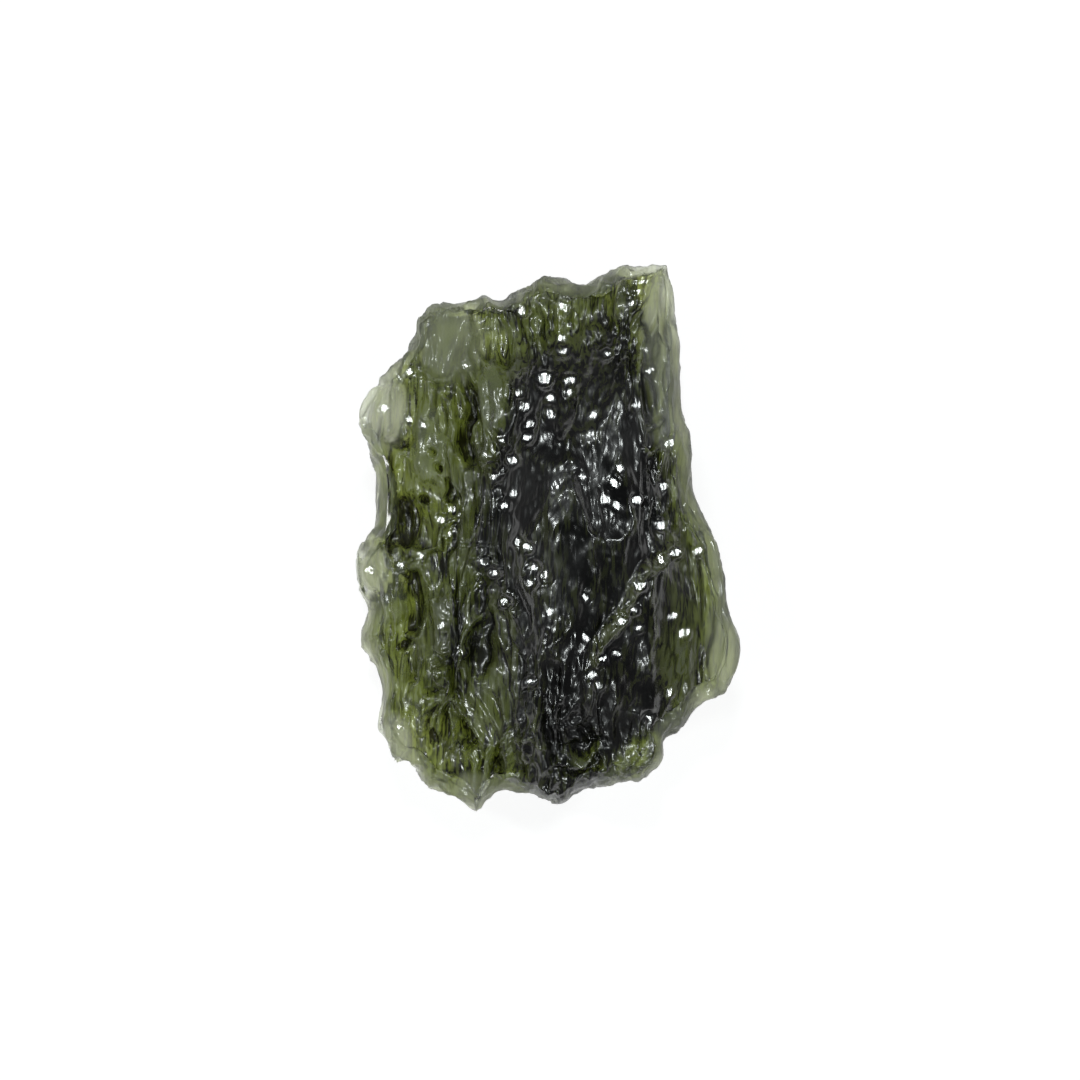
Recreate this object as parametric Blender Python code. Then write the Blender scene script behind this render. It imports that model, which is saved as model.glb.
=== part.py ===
"""A rough moldavite: one natural piece of green glass, fluted and pitted, lying on a small flat spot.

The long axis runs along Y, the stone rests on Z = 0, and its plan is centred on the origin.
Sizes are in millimetres until the mesh is made, and in metres in the mesh.
"""

import math

import bmesh
import bpy
import numpy as np
from mathutils import noise

METRES_PER_MM = 0.001

# Overall size of the stone, in millimetres.
WIDTH = 14.0
LENGTH = 20.0
THICKNESS = 7.2

# The stone's edge seen from above, clockwise from the top right horn, in millimetres.
OUTLINE = (
    # top right horn
    (3.62, 9.96), (4.14, 9.96), (4.43, 9.80),
    # long right edge
    (4.54, 9.19), (4.65, 8.01), (4.87, 7.13), (4.80, 5.51), (4.87, 4.67), (5.13, 3.90), (5.24, 2.65),
    (5.31, 1.65), (5.61, 0.96), (6.08, 0.07), (6.38, -1.10), (6.53, -2.21), (6.89, -3.24), (7.00, -3.86),
    # smooth lower right lobe
    (6.86, -4.67), (6.45, -5.44), (5.79, -5.85), (5.42, -6.14), (5.09, -6.62), (4.65, -7.02), (4.25, -7.28),
    # small lobe below it
    (4.25, -7.68), (4.03, -8.20), (3.47, -8.57), (2.67, -8.82),
    # bottom edge with its blunt tooth, and the sharp tip
    (1.93, -9.04), (1.19, -9.30), (0.72, -9.63), (0.35, -9.74), (-0.09, -9.60), (-0.64, -9.34),
    (-1.56, -9.23), (-2.11, -9.52), (-2.56, -10.0),
    # bottom left corner
    (-3.14, -9.63), (-3.95, -9.15), (-4.39, -9.01), (-4.69, -8.57), (-5.02, -8.20), (-5.46, -8.05),
    (-5.83, -7.54), (-6.16, -7.02),
    # left edge with its knob
    (-6.19, -6.54), (-6.05, -5.51), (-6.23, -4.71), (-6.67, -4.04), (-6.82, -3.60), (-6.60, -2.76),
    (-6.71, -2.17), (-6.97, -1.43), (-7.00, -0.81), (-6.71, -0.15), (-6.38, 0.40), (-6.27, 1.29),
    (-6.27, 2.28), (-6.53, 3.31),
    # upper left knob and shell
    (-6.89, 4.23), (-6.75, 4.89), (-6.31, 5.55), (-5.68, 6.32), (-5.06, 7.06), (-4.80, 7.46),
    (-4.69, 8.09), (-4.03, 8.64), (-3.40, 8.71),
    # scalloped top edge
    (-2.70, 8.86), (-2.19, 8.97), (-1.75, 8.86), (-1.01, 9.19), (-0.35, 9.56), (0.06, 9.60),
    (0.83, 9.41), (1.38, 9.38), (2.00, 9.67), (2.67, 10.0), (3.18, 9.89),
)
OUTLINE_STEPS = 8

# The body: how high the upper face and the underside stand, before any relief, and at what share
# of the way up from one to the other the edge lies. The edge wanders a little.
RIM_SHARE = 0.50
RIM_WANDER = 0.35
RIM_WAVES = 1.3
UPPER_LEVEL = 4.4
LOWER_LEVEL = -0.1
# How wide the rounding from the edge to each face is, and how much each face slopes off outwards.
UPPER_ROUNDING = 0.7
LOWER_ROUNDING = 1.1
UPPER_CROWN = 0.30
LOWER_CROWN = 0.40
# The share of the mesh's rings that is drawn away from the edge, where they would crowd.
RING_EASE = 0.25

# Broad swellings of the upper face: centre x and y, half width, half length, rise.
SWELLINGS = (
    (0.8, -1.2, 3.4, 7.2, 2.0),      # the thick core
    (1.0, -7.4, 2.8, 2.2, 0.6),      # its lower end
    (-3.5, -4.0, 0.9, 2.6, 0.8),     # shoulder at its lower left
    (3.4, 4.6, 1.6, 4.6, 0.4),       # ridge up to the horn
    (5.6, -3.8, 1.6, 3.0, 0.3),      # lower right lobe
    (-6.2, 1.2, 0.7, 2.6, 0.4),      # thick strip along the left edge
    (-0.4, 7.6, 2.4, 2.0, -0.4),     # hollow below the top edge
)
# Where the underside comes down to the surface or lifts off it, in the same form.
UNDULATIONS_BELOW = (
    (0.7, -0.4, 3.0, 4.4, -0.25),    # under the core
    (1.0, -7.4, 2.8, 2.0, -0.5),     # under its lower end
    (-3.6, -4.0, 0.8, 2.4, -0.6),    # under the shoulder
    (-4.7, 0.2, 0.8, 1.3, -0.8),     # under the trough on the left
    (-6.1, 1.2, 0.6, 2.4, -0.5),     # under the strip along the left edge
    (-5.6, -2.2, 0.6, 1.2, 0.4),     # under the clear window below the left knob
    (-4.2, 7.0, 1.2, 1.5, -0.4),     # under the smooth shell
    (-1.7, 8.1, 0.9, 0.9, -0.6),     # and the rib beside it
    (1.6, 9.4, 3.8, 3.4, 0.9),       # under the top edge
    (5.2, 4.6, 1.6, 5.4, 2.0),       # under the upper right edge
    (3.9, 9.2, 1.1, 1.9, 2.2),       # under the horn
    (6.1, -3.7, 2.7, 3.6, 2.1),      # under the lower right lobe
    (3.7, -8.4, 2.0, 1.5, 3.0),      # under the small lobe at the bottom right
    (-6.3, 4.5, 1.2, 1.5, 1.6),      # under the two knobs of the left edge
    (-6.6, -1.1, 1.0, 1.1, 1.9),
    (-4.2, 3.0, 1.1, 3.4, 0.4),      # under the clearest glass on the left
    (-5.2, -7.2, 1.2, 1.4, 1.1),     # under the lower left corner
    (-2.5, -9.8, 0.8, 1.0, 0.2),     # under the sharp tip
)
# 1 makes a swelling a bell, and more gives it a flatter top and steeper sides.
SWELLING_FLATNESS = 1.4

# The left side of the core, where the stone steps down to a thin flange: points as y and x.
CORE_EDGE = (
    (-8.4, -0.4), (-7.2, -1.0), (-5.5, -0.9), (-2.9, -1.2), (-1.8, -2.0), (-0.8, -2.7), (-0.2, -2.9),
    (1.1, -2.6), (2.4, -2.3), (3.3, -1.8), (4.4, -1.5), (5.7, -1.4), (6.6, -1.0), (7.5, -1.4), (8.5, -2.2),
)
CORE_EDGE_WIDTH = 0.75
CORE_STEP = 0.5
FLANGE_LIFT = 1.2

# Wide marks on the upper face: centre x and y, half width, half length, turn in degrees, depth.
SCOOPS = (
    (-3.7, 7.1, 1.05, 1.70, 8.0, 0.35),      # smooth shell at the upper left
    (-0.9, -0.2, 0.36, 0.38, 0.0, 0.35),     # two round pits on the core
    (-0.65, -1.25, 0.44, 0.40, 0.0, 0.35),
    (3.0, 6.9, 0.50, 1.10, -6.0, 0.30),      # flutes below the horn and the top edge
    (0.6, 4.7, 0.45, 1.10, 5.0, 0.30),
    (1.2, -7.7, 1.10, 0.34, -6.0, 0.35),     # under the lip above the lower tier
)
LOBES = (
    (-5.9, 4.5, 1.00, 1.35, -12.0, 0.20),    # upper left knob
    (-6.3, -1.1, 0.75, 1.05, 0.0, 0.35),     # left knob
    (-5.0, -7.0, 1.10, 1.40, -10.0, 0.10),   # plate at the lower left
    (3.9, 8.6, 0.55, 1.30, 0.0, 0.20),       # rib under the horn
)
LOBE_SHARPNESS = 1.5

# Narrow grooves on the upper face: half width, depth, and the course as points in x and y.
GROOVES = (
    (0.26, 0.60, ((-3.1, 6.2), (-2.8, 5.4), (-2.8, 4.6), (-3.1, 3.7), (-2.9, 2.4))),
    (0.17, 0.35, ((-3.7, 2.3), (-3.5, 1.8), (-3.7, 1.3))),
    (0.18, 0.35, ((-5.9, 3.6), (-5.3, 3.3), (-4.7, 3.7))),
    (0.14, 0.20, ((-5.5, 3.1), (-5.5, 1.1), (-5.5, -0.7))),
    (0.42, 0.40, ((-5.1, 1.7), (-5.1, -0.2))),
    (0.32, 0.75, ((-5.0, -1.2), (-4.9, -2.2), (-4.9, -3.7))),
    (0.20, 0.40, ((-4.9, -3.7), (-5.3, -4.2))),
    (0.30, 0.60, ((-4.4, -4.0), (-3.9, -4.5), (-3.4, -5.5), (-3.1, -6.0))),
    (0.15, 0.50, ((-3.7, -6.4), (-3.7, -7.6))),
    (0.18, 0.55, ((-3.0, -6.3), (-2.8, -7.3), (-3.1, -7.8))),
    (0.13, 0.45, ((-4.2, -6.8), (-4.1, -7.6))),
    (0.20, 0.35, ((-2.4, -2.2), (-2.3, -4.0), (-2.5, -5.2))),
    (0.14, 0.25, ((4.0, 9.0), (4.1, 7.7), (4.3, 6.9))),
    (0.26, 0.35, ((-0.1, -8.4), (1.2, -8.5), (2.0, -8.2))),
    (0.14, 0.30, ((-2.5, -8.0), (-2.5, -9.2))),
    (0.18, 0.30, ((-2.0, -7.8), (-2.0, -9.0))),
    (0.10, 0.16, ((-5.7, -2.6), (-5.5, -3.7))),
    (0.10, 0.16, ((-6.0, -2.5), (-5.9, -3.7))),
)
# Ridges on the upper face, in the same form.
RIDGES = (
    (0.15, 0.30, ((-3.4, 1.2), (-3.8, 0.7), (-4.0, -0.2), (-4.5, -0.5), (-5.2, -0.9))),
    (0.16, 0.22, ((-4.7, 7.7), (-4.7, 6.4), (-4.5, 5.9), (-4.0, 5.6), (-3.4, 5.8), (-2.8, 6.2))),
    (0.16, 0.20, ((-2.7, -2.2), (-2.8, -3.7), (-2.7, -5.5))),
    (0.12, 0.16, ((-1.6, -2.4), (-1.6, -4.0), (-1.6, -5.9))),
    (0.13, 0.25, ((-4.0, -7.5), (-4.0, -6.4), (-3.6, -6.0), (-3.1, -6.1), (-2.8, -6.7), (-2.6, -7.6))),
    (0.10, 0.25, ((-3.4, -6.9), (-3.4, -7.8))),
    (0.12, 0.22, ((-4.5, -4.0), (-4.2, -4.7), (-4.2, -5.5))),
    (0.14, 0.20, ((-4.5, -6.0), (-4.5, -7.1))),
    (0.12, 0.30, ((-2.1, -7.4), (-2.3, -8.0), (-2.3, -8.8), (-2.5, -9.6))),
    (0.12, 0.20, ((-2.8, -8.2), (-2.8, -9.0))),
    (0.10, 0.12, ((-1.5, -7.4), (-0.9, -7.2), (-0.1, -7.4))),
    (0.10, 0.12, ((-0.3, -5.9), (-0.7, -7.2))),
    (0.10, 0.12, ((-1.1, -5.9), (-1.0, -7.2))),
    (0.13, 0.22, ((4.2, 8.2), (4.4, 7.2), (4.8, 6.2))),
    (0.11, 0.15, ((3.3, 8.1), (3.4, 6.6), (3.3, 5.0))),
    (0.16, 0.30, ((3.6, 3.8), (4.0, 4.0), (4.2, 4.5))),
    (0.14, 0.25, ((3.3, 3.3), (3.8, 3.1), (4.3, 3.5))),
    (0.30, 0.35, ((5.2, 0.7), (4.0, -0.7), (3.2, -1.5), (2.6, -2.8), (1.9, -3.7), (1.5, -4.7))),
    (0.16, 0.28, ((0.7, -7.8), (1.2, -8.0), (1.9, -7.8))),
    (0.15, 0.15, ((1.0, 8.9), (1.1, 7.5))),
)
# Small deep pits: centre x and y.
PITS = (
    (-4.06, 3.12), (-3.92, 2.65), (-4.50, 1.36), (-4.43, -5.59), (-4.87, -4.93), (-2.00, -7.72),
    (-3.58, -8.68), (0.17, -7.98),
)
PIT_RADIUS = 0.18
PIT_DEPTH = 0.45

# Where the stone is pitted all over and not fluted: centre x and y, half width, half length.
PITTED = (
    (1.0, 1.2, 3.4, 7.0),
    (3.6, -3.0, 2.4, 4.2),
)
# Where narrow flutes and pits fade: centre x and y, half width, half length, how much of them goes.
SMOOTH_PATCHES = (
    (5.6, -3.9, 1.9, 3.2, 0.70),
    (-3.7, 7.0, 1.1, 1.8, 0.65),
    (-5.5, -2.1, 0.6, 1.1, 0.70),
    (-4.3, 3.3, 0.6, 1.6, 0.60),
    (-2.1, 5.1, 0.5, 1.6, 0.60),
    (3.6, -8.3, 1.4, 0.9, 0.50),
)

# Flutes all round the stone, each layer a crowd of long scoops with sharp crests between them:
# width across, length along Y, depth.
BROAD_FLUTES = (
    (2.60, 8.50, 0.40),
)
NARROW_FLUTES = (
    (0.95, 4.60, 0.34),
    (0.44, 2.80, 0.33),
)
PITTED_LAYERS = (
    (1.10, 2.60, 0.23),
    (0.55, 1.00, 0.09),
)
# How far the flutes waver along each axis, and over what share of a turn per millimetre.
WAVER = np.array((0.9, 1.4, 0.55))
WAVER_PACE = (0.55, 0.22, 0.55)
# The same for the marks placed one by one.
MARK_WAVER = np.array((0.16, 0.30, 0.0))
MARK_WAVER_PACE = (1.3, 0.9, 1.3)
# No layer of flutes is cut deeper than this along the edge.
RIM_DEPTH = 0.10
# The relief on one face takes away no more than this share of the glass.
DEEPEST_SHARE = 0.36

# Around the small flat spot that the stone lies on, the relief is shallower.
REST_CENTRE = (0.7, -0.4)
REST_HALF = (2.6, 3.8)
REST_KEEP = 0.35

# How fine the mesh is at first, in squares across each sixth of the surface, and how many triangles
# are kept of it.
SPHERE_CUTS = 84
SOLID_TRIANGLES = 9400
# How far the block that cuts the flat spot reaches down.
CUTTER_DEPTH = 4.0
GLASS_GREEN = (0.13, 0.17, 0.06, 1.0)


def smooth_step(low, high, value):
    """0 below low, 1 above high, and a smooth rise between them."""
    share = np.clip((value - low) / (high - low), 0.0, 1.0)
    return share * share * (3.0 - 2.0 * share)


def outline_curve():
    """Points along a smooth closed curve through OUTLINE."""
    corners = np.array(OUTLINE)
    before, after, beyond = (np.roll(corners, shift, axis=0) for shift in (1, -1, -2))
    curve = []
    for step in range(OUTLINE_STEPS):
        t = step / OUTLINE_STEPS
        curve.append(
            corners
            + 0.5 * t * (after - before)
            + t * t * (before - 2.5 * corners + 2.0 * after - 0.5 * beyond)
            + t**3 * (1.5 * (corners - after) + 0.5 * (beyond - before))
        )
    return np.concatenate(curve)


def outline_radius(angle):
    """How far the stone's edge is from the origin in each direction of the plan."""
    curve = outline_curve()
    return np.interp(
        angle,
        np.arctan2(curve[:, 1], curve[:, 0]),
        np.hypot(curve[:, 0], curve[:, 1]),
        period=2.0 * math.pi,
    )


def ellipse_distance(x, y, centre_x, centre_y, half_width, half_length, turn=0.0):
    """0 at the centre of a turned ellipse and 1 on its edge, squared."""
    cosine, sine = math.cos(math.radians(turn)), math.sin(math.radians(turn))
    across = (x - centre_x) * cosine - (y - centre_y) * sine
    along = (x - centre_x) * sine + (y - centre_y) * cosine
    return (across / half_width) ** 2 + (along / half_length) ** 2


def stroke_share(x, y, half_width, course):
    """1 along the middle of a course of straight runs, falling to 0 at half its width from it and
    at its two ends."""
    corners = np.array(course)
    runs = np.diff(corners, axis=0)
    lengths = np.hypot(*runs.T)
    nearest = np.full(len(x), math.inf)
    passed = np.zeros(len(x))
    for start, run, length, before in zip(corners, runs, lengths, np.cumsum(lengths) - lengths):
        share = np.clip(((x - start[0]) * run[0] + (y - start[1]) * run[1]) / length**2, 0.0, 1.0)
        away = np.hypot(x - start[0] - share * run[0], y - start[1] - share * run[1])
        closer = away < nearest
        nearest[closer] = away[closer]
        passed[closer] = before + share[closer] * length
    taper = 1.0 - (2.0 * passed / lengths.sum() - 1.0) ** 4
    return taper * np.clip(1.0 - (nearest / half_width) ** 2, 0.0, 1.0)


def swollen(level, swellings, x, y):
    """The height of a face at each place: its level, with the swellings added."""
    height = np.full(len(x), level)
    for *place, rise in swellings:
        height += rise * np.exp(-(ellipse_distance(x, y, *place) ** SWELLING_FLATNESS))
    return height


def core_share(x, y):
    """0 on the flange left of the core's edge and 1 to the right of it."""
    edge_y, edge_x = np.transpose(CORE_EDGE)
    return smooth_step(-CORE_EDGE_WIDTH, CORE_EDGE_WIDTH, x - np.interp(y, edge_y, edge_x))


def face_levels(x, y):
    """How high the upper face and the underside stand, as if the stone had no edge."""
    core = core_share(x, y)
    upper = swollen(UPPER_LEVEL, SWELLINGS, x, y) + CORE_STEP * core
    lower = swollen(LOWER_LEVEL, UNDULATIONS_BELOW, x, y) + FLANGE_LIFT * (1.0 - core)
    return upper, lower


def rounded(gap, width, crown, reach):
    """How far a face has come from the edge's height to its own, at a gap from the edge."""
    share = np.clip(gap / width, 0.0, 1.0)
    return np.sqrt(1.0 - (1.0 - share) ** 2) * (1.0 - crown * reach**2)


def ball_mesh(cuts):
    """A ball of evenly spread squares, with its points as an array."""
    shape = bmesh.new()
    bmesh.ops.create_cube(shape, size=2.0)
    bmesh.ops.subdivide_edges(shape, edges=shape.edges, cuts=cuts - 1, use_grid_fill=True)
    mesh = bpy.data.meshes.new("moldavite")
    shape.to_mesh(mesh)
    shape.free()
    points = np.empty(len(mesh.vertices) * 3)
    mesh.vertices.foreach_get("co", points)
    points = np.tan(points.reshape(-1, 3) * math.pi / 4.0)
    points /= np.linalg.norm(points, axis=1)[:, None]
    return mesh, points


def body_points(ball):
    """The ball's points, stretched to the outline, the upper face and the underside."""
    angle = np.arctan2(ball[:, 1], ball[:, 0])
    ring = np.arctan2(np.hypot(ball[:, 0], ball[:, 1]), np.abs(ball[:, 2])) / (math.pi / 2.0)
    reach = np.sin(((1.0 - RING_EASE) * ring + RING_EASE * ring**3) * math.pi / 2.0)
    reach = np.minimum(reach, 1.0)
    radius = outline_radius(angle)
    x = reach * radius * np.cos(angle)
    y = reach * radius * np.sin(angle)
    gap = (1.0 - reach) * radius
    circle = RIM_WAVES * np.column_stack([np.cos(angle), np.sin(angle)])
    wander = np.array([noise.noise((a, b, 4.7)) for a, b in circle])
    highest, lowest = face_levels(radius * np.cos(angle), radius * np.sin(angle))
    rim = lowest + (highest - lowest) * (RIM_SHARE + RIM_WANDER * wander)
    upper, lower = face_levels(x, y)
    above = rim + (upper - rim) * rounded(gap, UPPER_ROUNDING, UPPER_CROWN, reach)
    below = rim + (lower - rim) * rounded(gap, LOWER_ROUNDING, LOWER_CROWN, reach)
    return np.column_stack([x, y, np.where(ball[:, 2] > 0.0, above, below)])


def shaken(points, pace):
    """A smooth random push at each point, up to about 1 along each axis."""
    return np.array(
        [(noise.noise((x, y, z + 11.0)), noise.noise((x + 7.0, y, z)), noise.noise((x, y + 5.0, z)))
         for x, y, z in points * pace]
    )


def fluted(points, layers, near_rim):
    """How deep layers of scooped flutes are cut: each from 0 on its crests to its own depth."""
    depths = np.zeros(len(points))
    for width, length, depth in layers:
        seed = 3.7 / width
        shares = points / (width, length, width)
        cut = np.array(
            [1.0 - min(1.0, 2.0 * noise.voronoi((x + seed, y, z))[0][0] ** 2) for x, y, z in shares]
        )
        depths += cut * (depth + (min(depth, RIM_DEPTH) - depth) * near_rim)
    return depths


def in_patches(x, y, patches):
    """1 inside any of the elliptical patches, falling smoothly to 0 at its edge."""
    return np.max([smooth_step(1.0, 0.3, ellipse_distance(x, y, *place)) for place in patches], axis=0)


def named_marks(x, y):
    """The height that the marks placed one by one on the upper face add or take away."""
    height = np.zeros(len(x))
    for *place, depth in SCOOPS:
        height -= depth * np.clip(1.0 - ellipse_distance(x, y, *place), 0.0, 1.0)
    for *place, rise in LOBES:
        height += rise * np.clip(1.0 - ellipse_distance(x, y, *place), 0.0, 1.0) ** LOBE_SHARPNESS
    for half_width, depth, course in GROOVES:
        height -= depth * stroke_share(x, y, half_width, course)
    for half_width, rise, course in RIDGES:
        height += rise * stroke_share(x, y, half_width, course) ** LOBE_SHARPNESS
    for place in PITS:
        distance = ellipse_distance(x, y, *place, PIT_RADIUS, PIT_RADIUS)
        height -= PIT_DEPTH * np.clip(1.0 - distance, 0.0, 1.0)
    return height


def relief(points, normals):
    """How far each point of the body is moved out along its normal: below 0 where it moves in."""
    x, y, _ = points.T
    mark_x, mark_y, _ = (points + MARK_WAVER * shaken(points, MARK_WAVER_PACE)).T
    facing_up = smooth_step(0.05, 0.5, normals[:, 2])
    facing_down = smooth_step(0.3, 0.9, -normals[:, 2])
    near_rim = smooth_step(0.75, 0.0, np.abs(normals[:, 2]))
    resting = facing_down * np.exp(-ellipse_distance(x, y, *REST_CENTRE, *REST_HALF) ** 2)
    broad_keep = 1.0 - (1.0 - REST_KEEP) * resting
    narrow_keep = broad_keep.copy()
    for *place, share in SMOOTH_PATCHES:
        narrow_keep *= 1.0 - share * smooth_step(1.0, 0.3, ellipse_distance(x, y, *place))
    pitted = in_patches(x, y, PITTED)
    bent = points + WAVER * shaken(points, WAVER_PACE)
    depth = broad_keep * fluted(bent, BROAD_FLUTES, near_rim)
    depth += narrow_keep * (1.0 - pitted) * fluted(bent, NARROW_FLUTES, near_rim)
    depth += narrow_keep * pitted * fluted(bent, PITTED_LAYERS, near_rim)
    upper, lower = face_levels(x, y)
    deepest = DEEPEST_SHARE * (upper - lower)
    return facing_up * named_marks(mark_x, mark_y) - deepest * np.tanh(depth / deepest)


def fitted(points):
    """The points stretched a little, so that the stone has its stated size and is centred on the origin."""
    low, high = points.min(axis=0), points.max(axis=0)
    points[:, 0] = (points[:, 0] - (low[0] + high[0]) / 2.0) * WIDTH / (high[0] - low[0])
    points[:, 1] = (points[:, 1] - (low[1] + high[1]) / 2.0) * LENGTH / (high[1] - low[1])
    points[:, 2] = np.where(points[:, 2] > 0.0, points[:, 2] * THICKNESS / high[2], points[:, 2])
    return points


def set_points(mesh, points):
    mesh.vertices.foreach_set("co", (points * METRES_PER_MM).ravel())
    mesh.update()


def vertex_normals(mesh):
    normals = np.empty(len(mesh.vertices) * 3)
    mesh.vertex_normals.foreach_get("vector", normals)
    return normals.reshape(-1, 3)


def stone_mesh(cuts):
    """The stone's whole surface, as fine as the number of cuts across a sixth of it."""
    mesh, ball = ball_mesh(cuts)
    points = body_points(ball)
    set_points(mesh, points)
    normals = vertex_normals(mesh)
    set_points(mesh, fitted(points + normals * relief(points, normals)[:, None]))
    return mesh


def glass():
    """Deep green glass with a gloss."""
    material = bpy.data.materials.new("moldavite_glass")
    material.use_nodes = True
    shader = material.node_tree.nodes["Principled BSDF"]
    shader.inputs["Base Color"].default_value = GLASS_GREEN
    shader.inputs["Roughness"].default_value = 0.15
    shader.inputs["Metallic"].default_value = 0.0
    shader.inputs["IOR"].default_value = 1.49
    return material


def floor_cutter():
    """A block with its top on Z = 0, which cuts the flat spot."""
    size = np.array((2.0 * WIDTH, 2.0 * LENGTH, CUTTER_DEPTH)) * METRES_PER_MM
    mesh = bpy.data.meshes.new("floor_cutter")
    shape = bmesh.new()
    bmesh.ops.create_cube(shape, size=1.0)
    bmesh.ops.scale(shape, verts=shape.verts, vec=size)
    bmesh.ops.translate(shape, verts=shape.verts, vec=(0.0, 0.0, -size[2] / 2.0))
    shape.to_mesh(mesh)
    shape.free()
    cutter = bpy.data.objects.new("floor_cutter", mesh)
    bpy.context.scene.collection.objects.link(cutter)
    cutter.hide_render = True
    cutter.display_type = "WIRE"
    return cutter


def build():
    for old in list(bpy.data.objects):
        bpy.data.objects.remove(old)
    stone = bpy.data.objects.new("moldavite", stone_mesh(SPHERE_CUTS))
    bpy.context.scene.collection.objects.link(stone)
    stone.data.materials.append(glass())
    fewer = stone.modifiers.new("Fewer faces", "DECIMATE")
    fewer.ratio = SOLID_TRIANGLES / (12.0 * SPHERE_CUTS**2)
    flat = stone.modifiers.new("Flat spot", "BOOLEAN")
    flat.operation = "DIFFERENCE"
    flat.solver = "EXACT"
    flat.object = floor_cutter()


build()
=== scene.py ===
"""The dressed moldavite: its fluted and pitted glass in fine detail, on a plain pale floor.

The long axis runs along Y, the stone rests on Z = 0, and its plan is centred on the origin.
Sizes are in millimetres until the mesh is made, and in metres in the mesh.
"""

import math

import bmesh
import bpy
import numpy as np
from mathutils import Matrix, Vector, noise


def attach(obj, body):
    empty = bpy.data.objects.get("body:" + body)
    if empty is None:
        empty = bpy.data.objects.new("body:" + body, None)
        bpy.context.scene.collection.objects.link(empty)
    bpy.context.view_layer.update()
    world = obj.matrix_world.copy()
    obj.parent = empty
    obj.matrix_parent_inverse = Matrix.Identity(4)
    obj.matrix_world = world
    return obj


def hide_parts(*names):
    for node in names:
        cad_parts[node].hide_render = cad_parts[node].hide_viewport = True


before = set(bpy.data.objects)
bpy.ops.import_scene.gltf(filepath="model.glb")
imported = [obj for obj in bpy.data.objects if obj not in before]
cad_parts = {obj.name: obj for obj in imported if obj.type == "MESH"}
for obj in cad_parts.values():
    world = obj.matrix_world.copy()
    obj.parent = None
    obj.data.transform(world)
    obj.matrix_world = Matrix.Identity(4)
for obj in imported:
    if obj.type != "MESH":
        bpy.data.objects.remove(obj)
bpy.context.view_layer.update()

METRES_PER_MM = 0.001

# Overall size of the stone, in millimetres.
WIDTH = 14.0
LENGTH = 20.0
THICKNESS = 7.2

# The stone's edge seen from above, clockwise from the top right horn, as points in x and y.
OUTLINE = (
    # top right horn
    (3.62, 9.96), (4.14, 9.96), (4.43, 9.80),
    # long right edge
    (4.54, 9.19), (4.65, 8.01), (4.87, 7.13), (4.80, 5.51), (4.87, 4.67), (5.13, 3.90), (5.24, 2.65),
    (5.31, 1.65), (5.61, 0.96), (6.08, 0.07), (6.38, -1.10), (6.53, -2.21), (6.89, -3.24), (7.00, -3.86),
    # smooth lower right lobe
    (6.86, -4.67), (6.45, -5.44), (5.79, -5.85), (5.42, -6.14), (5.09, -6.62), (4.65, -7.02), (4.25, -7.28),
    # small lobe below it
    (4.25, -7.68), (4.03, -8.20), (3.47, -8.57), (2.67, -8.82),
    # bottom edge with its blunt tooth, and the sharp tip
    (1.93, -9.04), (1.19, -9.30), (0.72, -9.63), (0.35, -9.74), (-0.09, -9.60), (-0.64, -9.34),
    (-1.56, -9.23), (-2.11, -9.52), (-2.56, -10.0),
    # bottom left corner
    (-3.14, -9.63), (-3.95, -9.15), (-4.39, -9.01), (-4.69, -8.57), (-5.02, -8.20), (-5.46, -8.05),
    (-5.83, -7.54), (-6.16, -7.02),
    # left edge with its knob
    (-6.19, -6.54), (-6.05, -5.51), (-6.23, -4.71), (-6.67, -4.04), (-6.82, -3.60), (-6.60, -2.76),
    (-6.71, -2.17), (-6.97, -1.43), (-7.00, -0.81), (-6.71, -0.15), (-6.38, 0.40), (-6.27, 1.29),
    (-6.27, 2.28), (-6.53, 3.31),
    # upper left knob and shell
    (-6.89, 4.23), (-6.75, 4.89), (-6.31, 5.55), (-5.68, 6.32), (-5.06, 7.06), (-4.80, 7.46),
    (-4.69, 8.09), (-4.03, 8.64), (-3.40, 8.71),
    # scalloped top edge
    (-2.70, 8.86), (-2.19, 8.97), (-1.75, 8.86), (-1.01, 9.19), (-0.35, 9.56), (0.06, 9.60),
    (0.83, 9.41), (1.38, 9.38), (2.00, 9.67), (2.67, 10.0), (3.18, 9.89),
)
# How many short runs the smooth edge makes between two of these points.
OUTLINE_STEPS = 8

# The body: how high the upper face and the underside stand, before any relief, and at what share
# of the way up from one to the other the edge lies. The edge wanders a little.
RIM_SHARE = 0.50
RIM_WANDER = 0.35
RIM_WAVES = 1.3
UPPER_LEVEL = 4.4
LOWER_LEVEL = -0.1
# How wide the rounding from the edge to each face is, and how much each face slopes off outwards.
UPPER_ROUNDING = 0.7
LOWER_ROUNDING = 1.1
UPPER_CROWN = 0.30
LOWER_CROWN = 0.40
# The share of the mesh's rings that is drawn away from the edge, where they would crowd.
RING_EASE = 0.25

# Broad swellings of the upper face: centre x and y, half width, half length, rise.
SWELLINGS = (
    (0.8, -1.2, 3.4, 7.2, 2.0),      # the thick core
    (1.0, -7.4, 2.8, 2.2, 0.6),      # its lower end
    (-3.5, -4.0, 0.9, 2.6, 0.8),     # shoulder at its lower left
    (3.4, 4.6, 1.6, 4.6, 0.4),       # ridge up to the horn
    (5.6, -3.8, 1.6, 3.0, 0.3),      # lower right lobe
    (-6.2, 1.2, 0.7, 2.6, 0.4),      # thick strip along the left edge
    (-0.4, 7.6, 2.4, 2.0, -0.4),     # hollow below the top edge
)
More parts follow.
